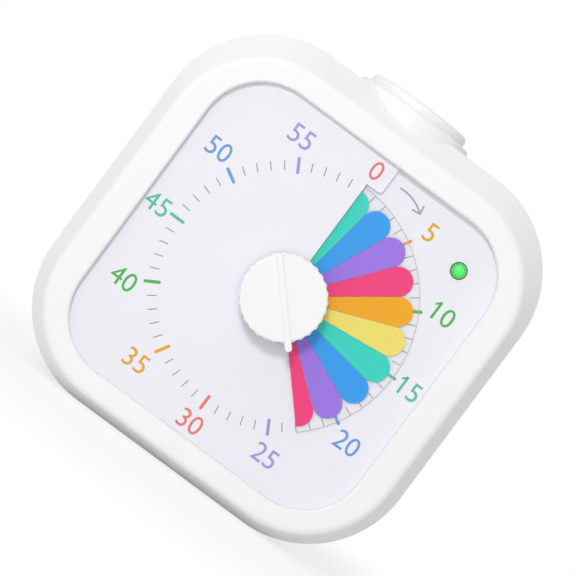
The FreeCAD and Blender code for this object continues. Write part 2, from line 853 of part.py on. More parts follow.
def coil(radius, wire_half, height, turns):
    """Square-wire coil spring standing on z = 0, as one unbroken sweep."""
    rise = height - 2 * wire_half
    helix = Part.makeHelix(rise / turns, rise, radius)
    section = Part.makePolygon([
        Vector(radius - wire_half, 0, -wire_half), Vector(radius + wire_half, 0, -wire_half),
        Vector(radius + wire_half, 0, wire_half), Vector(radius - wire_half, 0, wire_half),
        Vector(radius - wire_half, 0, -wire_half),
    ])
    spring = Part.Wire(helix.Edges).makePipeShell([section], True, True)
    spring.translate(Vector(0, 0, wire_half))
    return spring


def button_spring():
    spring = coil(spring_radius, spring_wire, button_ceiling - button_board_top, spring_turns)
    spring.rotate(Vector(0, 0, 0), Vector(1, 0, 0), -90)
    spring.translate(Vector(0, button_board_top, 0))
    return spring


def button_board():
    return slab(-button_board_half_width, button_board_half_width,
                button_board_top - button_board_thickness, button_board_top,
                -button_board_back, button_board_front)


def button_switch():
    half = key_switch_half
    body = slab(-half, half, button_board_top, button_board_top + key_switch_height, -half, half)
    top = button_board_top + key_switch_height
    return body.fuse(upright_rod(0, 0, top, top + button_travel, key_plunger_radius))


# Batteries, contacts and door

def cell_rows():
    """Middle height and pole direction of each cell."""
    return [(bay_centre - cell_pitch / 2, 1), (bay_centre + cell_pitch / 2, -1)]


def cell_level():
    return door_back + cell_radius + cell_gap


def battery_cells():
    cells = []
    for y, side in cell_rows():
        plus_end = bay_half_length - contact_plate
        shoulder = plus_end - cell_nub
        start = Vector(side * (shoulder - cell_length), y, cell_level())
        axis = Vector(side, 0, 0)
        body = Part.makeCylinder(cell_radius, cell_length, start, axis)
        ends = [edge for edge in body.Edges if edge.BoundBox.XLength < 1e-6]
        body = body.makeChamfer(cell_edge_chamfer, ends)
        nub = Part.makeCylinder(cell_nub_radius, cell_nub,
                                Vector(side * shoulder, y, cell_level()), axis)
        cells.append(body.fuse(nub))
    return Part.makeCompound(cells)


def battery_plates():
    plates = []
    for y, side in cell_rows():
        for end in (-1, 1):
            x0, x1 = sorted((end * bay_half_length, end * (bay_half_length - contact_plate)))
            plates.append(slab(x0, x1, y - contact_half, y + contact_half,
                               cell_level() - contact_half, cell_level() + contact_half))
    return Part.makeCompound(plates)


def battery_springs():
    springs = []
    for y, side in cell_rows():
        spring = coil(contact_spring_radius, contact_spring_wire, cell_spring_room,
                      contact_spring_turns)
        spring.rotate(Vector(0, 0, 0), Vector(0, 1, 0), side * 90)
        spring.translate(Vector(side * (contact_plate - bay_half_length), y, cell_level()))
        springs.append(spring)
    return Part.makeCompound(springs)


def battery_door():
    gap = door_clearance
    door = slab(gap - door_half_length, door_half_length - gap, door_bottom + gap, door_top - gap,
                back, door_back)
    tab = slab(-door_tab_half_width, door_tab_half_width, door_top - gap - 1,
               door_top + door_tab_height - gap, back, door_back)
    door = door.fuse(tab).removeSplitter()
    # Finger hollow in the tab
    hollow_level = back + door_hollow_depth - door_hollow_radius
    hollow = Part.makeCylinder(door_hollow_radius, 2 * door_tab_half_width,
                               Vector(-door_tab_half_width, door_top + door_tab_height / 2,
                                      hollow_level), Vector(1, 0, 0))
    door = door.cut(hollow)
    for side in (-1, 1):
        x = side * door_hook_offset
        root = slab(x - door_hook_half_width, x + door_hook_half_width,
                    door_bottom + gap + door_ledge + gap,
                    door_bottom + gap + door_ledge + door_hook_root,
                    door_back - door_hook_bite,
                    inner_back + door_hook_gap + door_hook_thickness)
        hook = slab(x - door_hook_half_width, x + door_hook_half_width,
                    door_bottom - door_hook_drop,
                    door_bottom + gap + door_ledge + door_hook_root,
                    inner_back + door_hook_gap,
                    inner_back + door_hook_gap + door_hook_thickness)
        door = door.fuse(root.fuse(hook))
    return door.removeSplitter()


PIECES = {
    "front_frame": front_frame,
    "rear_shell": rear_shell,
    "dial_plate": dial_plate,
    "chassis_plate": chassis_plate,
    "case_screws": case_screws,
    "spindle_bush": spindle_bush,
    "movement_case": movement_case,
    "movement_screws": movement_screws,
    "drive_motor": drive_motor,
    "led_lamp": led_lamp,
    "main_board": main_board,
    "board_screws": board_screws,
    "volume_switch": volume_switch,
    "speaker": speaker,
    "button_board": button_board,
    "button_switch": button_switch,
    "battery_cells": battery_cells,
    "battery_plates": battery_plates,
    "battery_springs": battery_springs,
    "knob": knob,
    "spindle": spindle,
    "drive_wheel": drive_wheel,
    "colour_disc": colour_disc,
    "disc_hub": disc_hub,
    "motor_pinion": motor_pinion,
    "button_cap": button_cap,
    "button_spring": button_spring,
    "battery_door": battery_door,
    "volume_slider": volume_slider,
}


def stood_up(shape):
    """Turns a piece from lying on its back to standing on its underside."""
    stood = shape.copy()
    stood.rotate(Vector(0, 0, 0), Vector(1, 0, 0), 90)
    stood.translate(Vector(0, 0, casing_bottom))
    return stood


def main():
    os.makedirs("parts", exist_ok=True)
    for name, make in PIECES.items():
        piece = stood_up(make())
        piece.exportStep("parts/" + name + ".step")
        print(name, "solids", len(piece.Solids), "valid", piece.isValid(),
              "volume", round(piece.Volume, 1))


main()
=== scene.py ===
import json
import math

import bmesh
import bpy
from bpy.props import FloatProperty, FloatVectorProperty, IntProperty, PointerProperty
from mathutils import Matrix, Vector


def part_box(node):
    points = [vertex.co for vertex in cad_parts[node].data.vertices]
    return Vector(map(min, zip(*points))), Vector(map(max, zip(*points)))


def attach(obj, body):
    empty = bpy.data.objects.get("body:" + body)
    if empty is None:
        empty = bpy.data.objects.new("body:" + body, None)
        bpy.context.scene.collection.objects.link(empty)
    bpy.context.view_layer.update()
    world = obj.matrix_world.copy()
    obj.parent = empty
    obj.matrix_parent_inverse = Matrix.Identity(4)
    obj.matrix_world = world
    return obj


bl_info = {
    "name": "Visual Countdown Timer",
    "version": (1, 0, 0),
    "blender": (4, 5, 0),
    "location": "View3D > Sidebar > Timer",
    "description": "Dresses the countdown timer: dial print, petals, knob, lamp and stage",
    "category": "Object",
}

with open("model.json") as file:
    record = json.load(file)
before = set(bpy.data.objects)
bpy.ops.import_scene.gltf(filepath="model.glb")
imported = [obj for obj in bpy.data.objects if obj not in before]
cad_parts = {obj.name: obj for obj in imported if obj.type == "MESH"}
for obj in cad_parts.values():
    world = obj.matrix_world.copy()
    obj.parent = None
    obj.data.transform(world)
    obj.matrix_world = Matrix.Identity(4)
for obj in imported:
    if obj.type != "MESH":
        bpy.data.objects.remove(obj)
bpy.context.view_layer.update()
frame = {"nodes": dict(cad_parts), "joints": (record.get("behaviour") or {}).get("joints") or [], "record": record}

# Places read from the CAD frame, in metres
MM = 0.001
knob_joint = next(joint for joint in frame["joints"] if joint["name"] == "knob_turn")
climb = next(pair for pair in frame["record"]["behaviour"]["couplings"]
             if pair["joint"] == "disc_climb")
DIAL_CENTRE = Vector(knob_joint["pos_m"])
SET_ANGLE = -knob_joint["range_deg"][0]
PITCH = climb["ratio"] * 2 * math.pi
DIAL_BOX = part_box("dial_plate")
DIAL_LOW = -DIAL_BOX[0][1] - PITCH
DISC_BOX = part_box("colour_disc")
DISC_RADIUS = DIAL_CENTRE.z - DISC_BOX[0][2]
DISC_FRONT = -DISC_BOX[0][1] - PITCH * SET_ANGLE / 360
LAMP_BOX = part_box("led_lamp")
CELLS_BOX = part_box("battery_cells")

# The raised tab at nought: its width, and how far from the dial's centre it starts
TAB_WIDTH = 5.2 * MM
TAB_START = 42.0 * MM

# How deep print sinks into the dial, so that no gap shows under it
PRINT_SINK = 0.01 * MM

# Back and front of the petals, and of the painted shade line at the film's cut edge, over the film's front
PETAL_LOW, PETAL_HIGH = 0.01 * MM, 0.03 * MM
EDGE_LOW, EDGE_HIGH = 0.004 * MM, 0.02 * MM
EDGE_WIDTH = 0.18 * MM

# Where a cell's copper band starts and its bare end begins, from the cells' middle
CELL_BAND_START = 9.0 * MM
CELL_END = 25.4 * MM

# Steps along the curves
CAP_STEPS = 6
ARROW_STEPS = 16
PETAL_SIDE_STEPS = 10
PETAL_TIP_STEPS = 16
EDGE_STEPS = 180


def srgb(red, green, blue):
    """Linear colour from the 0 to 255 values that a screen shows."""
    def linear(value):
        value /= 255
        return value / 12.92 if value <= 0.04045 else ((value + 0.055) / 1.055) ** 2.4
    return (linear(red), linear(green), linear(blue))


def colour_prop(name, description, value):
    return FloatVectorProperty(name=name, description=description, default=value,
                               size=3, min=0, max=1, subtype="COLOR")


def length_prop(name, description, value):
    return FloatProperty(name=name, description=description, default=value,
                         unit="LENGTH", subtype="DISTANCE", precision=5)


class TimerCasingSettings(bpy.types.PropertyGroup):
    plastic: colour_prop("Plastic", "White of the casing", srgb(247, 247, 247))
    inner: colour_prop("Inner plastic", "Plastic of the pieces inside", srgb(226, 226, 226))


class TimerDialSettings(bpy.types.PropertyGroup):
    card: colour_prop("Dial", "Pale lavender of the dial", srgb(239, 238, 245))
    number_height: length_prop("Number height", "Height of the numbers", 5.9 * MM)
    number_radius: length_prop("Number radius", "Distance of the numbers from the centre",
                               48.1 * MM)
    flag_reach: length_prop("Flag reach", "How far the flag of a one reaches", 1.1 * MM)
    flag_width: length_prop("Flag stroke", "Width of the flag of a one", 0.62 * MM)
    quarter_shift: length_prop("Quarter shift", "How much nearer 0, 15, 30 and 45 stand", 1.3 * MM)
    major_inner: length_prop("Long tick start", "Inner end of the long ticks", 36.9 * MM)
    major_outer: length_prop("Long tick end", "Outer end of the long ticks", 42.1 * MM)
    major_width: length_prop("Long tick width", "Width of the long ticks", 0.98 * MM)
    minor_inner: length_prop("Short tick start", "Inner end of the short ticks", 37.9 * MM)
    minor_outer: length_prop("Short tick end", "Outer end of the short ticks", 40.8 * MM)
    minor_width: length_prop("Short tick width", "Width of the short ticks", 0.27 * MM)
    print_thickness: length_prop("Print thickness", "Height of the print above the dial", 0.03 * MM)
    arrow_radius: length_prop("Arrow curve", "Radius of the arrow's curve", 13.0 * MM)
    arrow_head: length_prop("Arrow head", "Length of the arrow head's strokes", 2.5 * MM)
    arrow_width: length_prop("Arrow stroke", "Width of the arrow's stroke", 0.55 * MM)
    minor_colour: colour_prop("Short ticks", "Grey of the short ticks", srgb(134, 134, 142))
    arrow_colour: colour_prop("Arrow", "Grey lavender of the arrow", srgb(164, 166, 186))


class TimerPetalSettings(bpy.types.PropertyGroup):
    body: FloatProperty(name="Body", description="How much of its own colour the dye shows",
                        default=0.86, min=0, max=1, subtype="FACTOR")
    count: IntProperty(name="Petals", description="Petals round the whole disc", default=24, min=4)
    tip_radius: length_prop("Petal reach", "Distance of the petals' tips from the centre",
                            39.3 * MM)
    root_radius: length_prop("Petal root", "Where the petals start, under the knob", 8.0 * MM)
    seam: length_prop("Seam", "Gap between neighbouring petals", 0.10 * MM)
    first_centre: FloatProperty(name="First petal", description="Angle of a petal's middle",
                                default=math.radians(16), subtype="ANGLE")


class TimerStageSettings(bpy.types.PropertyGroup):
    distance: length_prop("Distance", "From the camera to the dial", 0.80)
    azimuth: FloatProperty(name="Azimuth", description="Turn of the camera round the timer",
                           default=math.radians(-1.8), subtype="ANGLE")
    elevation: FloatProperty(name="Elevation", description="Height angle of the camera",
                             default=math.radians(1.5), subtype="ANGLE")
    roll: FloatProperty(name="Roll", description="Tilt of the camera about its own axis",
                        default=math.radians(36.6), subtype="ANGLE")
    picture_width: length_prop("Picture width", "Width seen at the dial", 0.1725)


# Mesh helpers

def deselect():
    if bpy.context.mode != "OBJECT":
        bpy.ops.object.mode_set(mode="OBJECT")
    bpy.ops.object.select_all(action="DESELECT")


def select_only(*objects):
    deselect()
    for piece in objects:
        piece.select_set(True)
    bpy.context.view_layer.objects.active = objects[-1]


def settle(piece):
    """Puts the object's place into its mesh, so that the object sits at the origin."""
    select_only(piece)
    bpy.ops.object.transform_apply(location=True, rotation=True, scale=True)
    return piece


def turn_outward(piece):
    select_only(piece)
    bpy.ops.object.mode_set(mode="EDIT")
    bpy.ops.mesh.select_all(action="SELECT")
    bpy.ops.mesh.remove_doubles(threshold=1e-7)
    bpy.ops.mesh.normals_make_consistent(inside=False)
    bpy.ops.object.mode_set(mode="OBJECT")
    return piece


def copy_of(piece, name):
    twin = piece.copy()
    twin.data = piece.data.copy()
    twin.name = name
    bpy.context.scene.collection.objects.link(twin)
    return twin


def add_object(name, data):
    """Adds an object with this data to the scene."""
    piece = bpy.data.objects.new(name, data)
    bpy.context.scene.collection.objects.link(piece)
    return piece


def add_shape(name, shape):
    """Adds an object with the finished shape as its mesh."""
    mesh = bpy.data.meshes.new(name)
    shape.to_mesh(mesh)
    shape.free()
    return add_object(name, mesh)


def join(pieces, name):
    select_only(*pieces)
    bpy.ops.object.join()
    joined = bpy.context.object
    joined.name = name
    return joined


def paint(piece, *materials):
    piece.data.materials.clear()
    for material in materials:
        piece.data.materials.append(material)


def dress(piece, body, material):
    paint(piece, material)
    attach(piece, body)
    return piece


def clockwise_angle(x, z):
    """Degrees clockwise from twelve o'clock, from 0 to 360."""
    return math.degrees(math.atan2(x, z)) % 360


def dial_level(x, z):
    """Height of the dial's spiral top in front of the casing's middle."""
    if 0 < x < TAB_WIDTH and z > TAB_START:
        return DIAL_LOW + PITCH
    return DIAL_LOW + PITCH * clockwise_angle(x, z) / 360


def lay_on_dial(piece, thickness):
    """Drops a flat piece, drawn in x and z round the dial's centre, on to the spiral dial.

    Its front face comes to lie one thickness above the dial, and its back just inside it."""
    for vertex in piece.data.vertices:
        x, z = vertex.co.x, vertex.co.z
        lift = thickness if vertex.co.y < 0 else -PRINT_SINK
        vertex.co.y = -(dial_level(x, z) + lift)
        vertex.co.z += DIAL_CENTRE.z
    return piece


# Materials

FILM_WHITE = (0.95, 0.95, 0.97)
BARE_STEEL = (0.62, 0.62, 0.64)


def new_material(name):
    material = bpy.data.materials.new(name)
    material.use_nodes = True
    nodes = material.node_tree.nodes
    return material, nodes, material.node_tree.links, nodes["Principled BSDF"]


def object_place(nodes):
    """Coordinates on the piece itself, which move with it."""
    return nodes.new("ShaderNodeTexCoord").outputs["Object"]


def noise(nodes, links, source, scale, detail=2.0):
    """Cloudy values from 0 to 1 at the source's coordinates."""
    cloud = nodes.new("ShaderNodeTexNoise")
    cloud.inputs["Scale"].default_value = scale
    cloud.inputs["Detail"].default_value = detail
    links.new(source, cloud.inputs["Vector"])
    return cloud.outputs["Fac"]


def spread(nodes, links, value, low, high):
    """Maps values from 0 to 1 on to values from low to high."""
    scale = nodes.new("ShaderNodeMapRange")
    scale.inputs["To Min"].default_value = low
    scale.inputs["To Max"].default_value = high
    links.new(value, scale.inputs["Value"])
    return scale.outputs["Result"]


def arithmetic(nodes, links, operation, first, second=None):
    """One step of arithmetic on values that are numbers or other nodes' outputs."""
    node = nodes.new("ShaderNodeMath")
    node.operation = operation
    for socket, value in zip(node.inputs, (first, second)):
        if isinstance(value, (int, float)):
            socket.default_value = value
        elif value is not None:
            links.new(value, socket)
    return node.outputs["Value"]


def colour_mix(nodes, links, factor, first, second):
    mix = nodes.new("ShaderNodeMix")
    mix.data_type = "RGBA"
    links.new(factor, mix.inputs["Factor"])
    for socket, value in ((mix.inputs["A"], first), (mix.inputs["B"], second)):
        if isinstance(value, tuple):
            socket.default_value = (*value, 1)
        else:
            links.new(value, socket)
    return mix.outputs["Result"]


def shader_mix(nodes, links, factor, first, second, output):
    """Blends two shaders into the output's surface."""
    mix = nodes.new("ShaderNodeMixShader")
    links.new(factor, mix.inputs["Fac"])
    links.new(first, mix.inputs[1])
    links.new(second, mix.inputs[2])
    links.new(mix.outputs["Shader"], output.inputs["Surface"])


def moulded(name, colour, roughness=0.38, grain=0.04, tint=0.012):
    """Moulded plastic: a fine spark-eroded grain, slight clouding of colour and gloss."""
    material, nodes, links, shader = new_material(name)
    shader.inputs["Coat Weight"].default_value = 0.0
    shader.inputs["IOR"].default_value = 1.46
    place = object_place(nodes)
    cloud = noise(nodes, links, place, scale=45.0, detail=3.0)
    mix = nodes.new("ShaderNodeMix")
    mix.data_type = "RGBA"
    mix.blend_type = "MULTIPLY"
    mix.inputs["Factor"].default_value = 1.0
    mix.inputs["A"].default_value = (*colour, 1)
    links.new(spread(nodes, links, cloud, 1 - tint, 1.0), mix.inputs["B"])
    links.new(mix.outputs["Result"], shader.inputs["Base Color"])
    links.new(spread(nodes, links, cloud, roughness - 0.05, roughness + 0.05),
              shader.inputs["Roughness"])
    bump = nodes.new("ShaderNodeBump")
    bump.inputs["Strength"].default_value = grain
    bump.inputs["Distance"].default_value = 0.05 * MM
    links.new(noise(nodes, links, place, scale=2600.0), bump.inputs["Height"])
    links.new(bump.outputs["Normal"], shader.inputs["Normal"])
    return material


def printed_ink(name, colour):
    """Screen-printed ink: flat colour with a faint mottle."""
    return moulded(name, colour, roughness=0.5, grain=0.02, tint=0.05)


def metal(name, colour, roughness=0.3, along=(1.0, 1.0, 60.0)):
    """Drawn or turned metal, with fine lines along one way."""
    material, nodes, links, shader = new_material(name)
    shader.inputs["Metallic"].default_value = 1.0
    stretch = nodes.new("ShaderNodeMapping")
    stretch.inputs["Scale"].default_value = along
    links.new(object_place(nodes), stretch.inputs["Vector"])
    lines = noise(nodes, links, stretch.outputs["Vector"], scale=300.0)
    ramp = nodes.new("ShaderNodeValToRGB")
    ramp.color_ramp.elements[0].color = (*[value * 0.85 for value in colour], 1)
    ramp.color_ramp.elements[1].color = (*colour, 1)
    links.new(lines, ramp.inputs["Fac"])
    links.new(ramp.outputs["Color"], shader.inputs["Base Color"])
    links.new(spread(nodes, links, lines, roughness - 0.06, roughness + 0.08),
              shader.inputs["Roughness"])
    return material


def tinted_film(name, colour, body):
    """Dyed film: it filters what lies under it, and shows some colour of its own."""
    material, nodes, links, shader = new_material(name)
    shader.inputs["Base Color"].default_value = (*[min(1, value * 1.12) for value in colour], 1)
    shader.inputs["Roughness"].default_value = 0.35
    weave = noise(nodes, links, object_place(nodes), scale=900.0)
    dye = nodes.new("ShaderNodeBsdfTransparent")
    # Light passes the dyed face once on its way in and once on its way out
    dye.inputs["Color"].default_value = (*[value ** 0.5 for value in colour], 1)
    shader_mix(nodes, links, spread(nodes, links, weave, body - 0.03, body + 0.03),
               dye.outputs["BSDF"], shader.outputs["BSDF"], nodes["Material Output"])
    return material


def clear_film(name, colour, alpha, roughness):
    """Thin film: mostly see-through, with a glossy skin and a faint haze."""
    material, nodes, links, shader = new_material(name)
    shader.inputs["Base Color"].default_value = (*colour, 1)
    shader.inputs["Roughness"].default_value = roughness
    haze = noise(nodes, links, object_place(nodes), scale=220.0)
    links.new(spread(nodes, links, haze, alpha * 0.85, alpha * 1.15), shader.inputs["Alpha"])
    return material


def cell_sleeve():
    """Printed sleeve of a cell: dark body, copper band at the plus end, bare steel ends."""
    material, nodes, links, shader = new_material("cell sleeve")
    apart = nodes.new("ShaderNodeSeparateXYZ")
    links.new(object_place(nodes), apart.inputs["Vector"])
    across, height = apart.outputs["X"], apart.outputs["Z"]
    row_middle = (CELLS_BOX[0][2] + CELLS_BOX[1][2]) / 2
    # The upper cell's plus end points one way and the lower cell's the other
    row = arithmetic(nodes, links, "SIGN",
                     arithmetic(nodes, links, "SUBTRACT", row_middle, height))
    along = arithmetic(nodes, links, "MULTIPLY", across, row)
    band = arithmetic(nodes, links, "GREATER_THAN", along, CELL_BAND_START)
    end = arithmetic(nodes, links, "GREATER_THAN",
                     arithmetic(nodes, links, "ABSOLUTE", across), CELL_END)
    sleeve = colour_mix(nodes, links, band, srgb(52, 54, 60), srgb(196, 120, 62))
    links.new(colour_mix(nodes, links, end, sleeve, BARE_STEEL), shader.inputs["Base Color"])
    links.new(end, shader.inputs["Metallic"])
    shader.inputs["Roughness"].default_value = 0.3
    return material


# Casing

class TIMER_OT_casing(bpy.types.Operator):
    """Finishes the casing, the chassis and the pieces inside"""
    bl_idname = "timer.casing"
    bl_label = "Casing"

    def execute(self, context):
        settings = context.scene.timer_casing
        nodes = frame["nodes"]
        casing = moulded("casing plastic", settings.plastic)
        for name in ("front_frame", "rear_shell", "battery_door", "button_cap", "knob"):
            paint(nodes[name], casing)
        inner = moulded("inner plastic", settings.inner, roughness=0.5)
        for name in ("chassis_plate", "disc_hub"):
            paint(nodes[name], inner)
        black = moulded("black plastic", srgb(38, 38, 40), roughness=0.45)
        for name in ("movement_case", "volume_switch", "button_switch", "volume_slider", "speaker"):
            paint(nodes[name], black)
        resin = moulded("gear resin", srgb(228, 222, 205), roughness=0.4)
        for name in ("drive_wheel", "motor_pinion"):
            paint(nodes[name], resin)
        steel = metal("zinc plated steel", BARE_STEEL)
        for name in ("spindle", "case_screws", "movement_screws", "board_screws", "drive_motor",
                     "button_spring", "battery_springs"):
            paint(nodes[name], steel)
        paint(nodes["battery_plates"], metal("nickel plate", (0.72, 0.70, 0.66), 0.22))
        paint(nodes["spindle_bush"], metal("turned brass", (0.80, 0.60, 0.28), 0.28))
        board = moulded("solder mask", srgb(28, 110, 62), roughness=0.3)
        for name in ("main_board", "button_board"):
            paint(nodes[name], board)
        paint(nodes["battery_cells"], cell_sleeve())
        return {"FINISHED"}


# Dial print

NUMBER_INKS = (srgb(233, 122, 118), srgb(232, 166, 36), srgb(78, 178, 82),
               srgb(92, 190, 164), srgb(106, 156, 216), srgb(166, 150, 216))
NUMBER_COLOURS = {5 * n: NUMBER_INKS[n % len(NUMBER_INKS)] for n in range(12)}

# Share of a bar's width that each corner's rounding takes, just under a half
BAR_ROUNDING = 0.49
# Height of the font's figures, as a share of its size
FIGURE_HEIGHT = 0.72

# Ends of the arrow's shaft in x and z from the dial's centre, and the spread of its head
ARROW_START = Vector((8.9 * MM, 0, 47.0 * MM))
ARROW_TIP = Vector((18.2 * MM, 0, 44.2 * MM))
ARROW_HEAD_DEGREES = 42
# Each stroke of the arrow is this share thicker than the one before, so no two faces coincide
ARROW_LAYER = 0.05


def round_ended_bar(name, inner, outer, width, thickness):
    """Flat bar up the z axis with round ends, drawn round the dial's centre."""
    deselect()
    middle = (inner + outer) / 2
    bpy.ops.mesh.primitive_cube_add(size=1, location=(0, 0, middle))
    bar = bpy.context.object
    bar.name = name
    bar.scale = (width, thickness, outer - inner)
    settle(bar)
    bpy.ops.object.mode_set(mode="EDIT")
    shape = bmesh.from_edit_mesh(bar.data)
    for edge in shape.edges:
        along = edge.verts[0].co - edge.verts[1].co
        edge.select = abs(along.y) > thickness / 2
    bmesh.update_edit_mesh(bar.data)
    bpy.ops.mesh.select_mode(type="EDGE")
    bpy.ops.mesh.bevel(offset=width * BAR_ROUNDING, segments=5, affect="EDGES")
    bpy.ops.object.mode_set(mode="OBJECT")
    return bar


def turned_copy(piece, name, clockwise):
    twin = copy_of(piece, name)
    twin.data.transform(Matrix.Rotation(math.radians(clockwise), 4, "Y"))
    return twin


def number_mesh(text, height, thickness):
    """A number as flat raised print, drawn round its own middle in x and z."""
    deselect()
    bpy.ops.object.text_add(location=(0, 0, 0))
    label = bpy.context.object
    label.data.body = text
    label.data.align_x = "CENTER"
    label.data.align_y = "CENTER"
    label.data.size = height / FIGURE_HEIGHT
    label.data.resolution_u = 6
    label.data.extrude = thickness / 2
    bpy.ops.object.convert(target="MESH")
    number = bpy.context.object
    corners = [vertex.co.copy() for vertex in number.data.vertices]
    low = Vector([min(corner[i] for corner in corners) for i in range(3)])
    high = Vector([max(corner[i] for corner in corners) for i in range(3)])
    middle = (low + high) / 2
    scale = height / (high.y - low.y)
    for vertex in number.data.vertices:
        flat = vertex.co - middle
        vertex.co = Vector((flat.x * scale, -flat.z, flat.y * scale))
    return number


class TIMER_OT_dial(bpy.types.Operator):
    """Finishes the dial and prints its numbers, ticks and arrow"""
    bl_idname = "timer.dial"
    bl_label = "Dial"

    def execute(self, context):
        settings = context.scene.timer_dial
        depth = settings.print_thickness
        paint(frame["nodes"]["dial_plate"], moulded("dial card", settings.card, roughness=0.55,
                                                    grain=0.02))
        inks = {}
        for minutes, colour in NUMBER_COLOURS.items():
            inks[minutes] = printed_ink("ink " + str(minutes), colour)
        long_tick = round_ended_bar("long_tick", settings.major_inner, settings.major_outer,
                                    settings.major_width, 2 * depth)
        short_tick = round_ended_bar("short_tick", settings.minor_inner, settings.minor_outer,
                                     settings.minor_width, 2 * depth)
        shorts = []
        for minute in range(1, 60):
            angle = 6 * minute
            if minute % 5:
                shorts.append(turned_copy(short_tick, "tick", angle))
                continue
            tick = turned_copy(long_tick, "long_tick_" + str(minute), angle)
            lay_on_dial(tick, depth)
            dress(tick, "casing", inks[minute])
        short_ticks = join(shorts, "short_ticks")
        lay_on_dial(short_ticks, depth)
        dress(short_ticks, "casing", printed_ink("grey ink", settings.minor_colour))
        for pattern in (long_tick, short_tick):
            bpy.data.objects.remove(pattern)
        for minutes in NUMBER_COLOURS:
            number = number_mesh(str(minutes), settings.number_height, 2 * depth)
            if str(minutes).startswith("1"):
                number = self.add_flag(number, settings)
            number.name = "number_" + str(minutes)
            angle = math.radians(6 * minutes)
            radius = settings.number_radius
            if minutes % 15 == 0:
                radius -= settings.quarter_shift
            number.data.transform(Matrix.Translation((radius * math.sin(angle), 0,
                                                      radius * math.cos(angle))))
            lay_on_dial(number, depth)
            dress(number, "casing", inks[minutes])
        self.arrow(settings, depth)
        return {"FINISHED"}

    def add_flag(self, number, settings):
        """Gives a number that starts with a bare upright one the flag at its top."""
        left = min(vertex.co.x for vertex in number.data.vertices)
        half = settings.flag_width / 2
        top = Vector((left + half, 0, settings.number_height / 2 - half))
        foot = top + Vector((-settings.flag_reach, 0, -settings.flag_reach))
        flag = stroke("flag", [foot, top], settings.flag_width, settings.print_thickness)
        flag.data.transform(Matrix.Translation((settings.flag_reach / 2, 0, 0)))
        number.data.transform(Matrix.Translation((settings.flag_reach / 2, 0, 0)))
        return join([flag, number], "number")

    def arrow(self, settings, depth):
        """The curved arrow from nought towards five, with an open head."""
        centre = self.arc_centre(ARROW_START, ARROW_TIP, settings.arrow_radius)
        first, last = [math.degrees(math.atan2(end.x - centre[0], end.z - centre[1]))
                       for end in (ARROW_START, ARROW_TIP)]
        shaft = arc_points(centre, settings.arrow_radius, first, last, ARROW_STEPS)
        ahead = (shaft[-1] - shaft[-2]).normalized()
        lines = [shaft]
        for side in (-1, 1):
            turn = math.radians(180 + side * ARROW_HEAD_DEGREES)
            back = Matrix.Rotation(turn, 3, "Y") @ ahead
            lines.append([ARROW_TIP, ARROW_TIP + back * settings.arrow_head])
        for n, points in enumerate(lines):
            line = stroke("arrow_" + str(n), points, settings.arrow_width, depth)
            lay_on_dial(line, depth * (1 + n * ARROW_LAYER))
            dress(line, "casing",
                  printed_ink("arrow ink " + str(n), settings.arrow_colour))

    def arc_centre(self, start, tip, radius):
        """Centre, in x and z, of the arc of this radius through two points, bulging outwards."""
        middle = (start + tip) / 2
        chord = tip - start
        below = Vector((chord.z, 0, -chord.x)).normalized()
        centre = middle + below * math.sqrt(radius ** 2 - (chord.length / 2) ** 2)
        return centre.x, centre.z


def arc_points(centre, radius, start, end, steps):
    """Points of an arc, its angles in degrees clockwise from twelve o'clock."""
    points = []
    for n in range(steps + 1):
        turn = math.radians(start + (end - start) * n / steps)
        points.append(Vector((centre[0] + radius * math.sin(turn), 0,
                              centre[1] + radius * math.cos(turn))))
    return points


def stroke(name, points, width, depth):
    """A round-ended line of print along points in x and z, as one closed flat mesh."""
    half = width / 2
    left, right = [], []
    for n, point in enumerate(points):
        ahead = points[min(n + 1, len(points) - 1)] - points[max(n - 1, 0)]
        ahead.normalize()
        side = Vector((ahead.z, 0, -ahead.x)) * half
        left.append(point - side)
        right.append(point + side)
    ring = list(right)
    for tip, before, flank in ((points[-1], points[-2], left[::-1]), (points[0], points[1], [])):
        away = (tip - before).normalized()
        side = Vector((away.z, 0, -away.x))
        for n in range(1, CAP_STEPS):
            turn = math.pi * n / CAP_STEPS
            ring.append(tip + (side * math.cos(turn) + away * math.sin(turn)) * half)
        ring += flank
    shape = bmesh.new()
    face = shape.faces.new([shape.verts.new(point) for point in ring])
    bmesh.ops.triangulate(shape, faces=[face])
    line = add_shape(name, shape)
    select_only(line)
    bpy.ops.object.mode_set(mode="EDIT")
    bpy.ops.mesh.select_all(action="SELECT")
    bpy.ops.mesh.extrude_region_move(TRANSFORM_OT_translate={"value": (0, -2 * depth, 0)})
    bpy.ops.object.mode_set(mode="OBJECT")
    for vertex in line.data.vertices:
        vertex.co.y += depth
    return turn_outward(line)


# Petals

PETAL_COLOURS = [srgb(46, 156, 238), srgb(156, 116, 228), srgb(255, 58, 124),
                 srgb(252, 170, 6), srgb(241, 224, 108), srgb(50, 212, 192)]


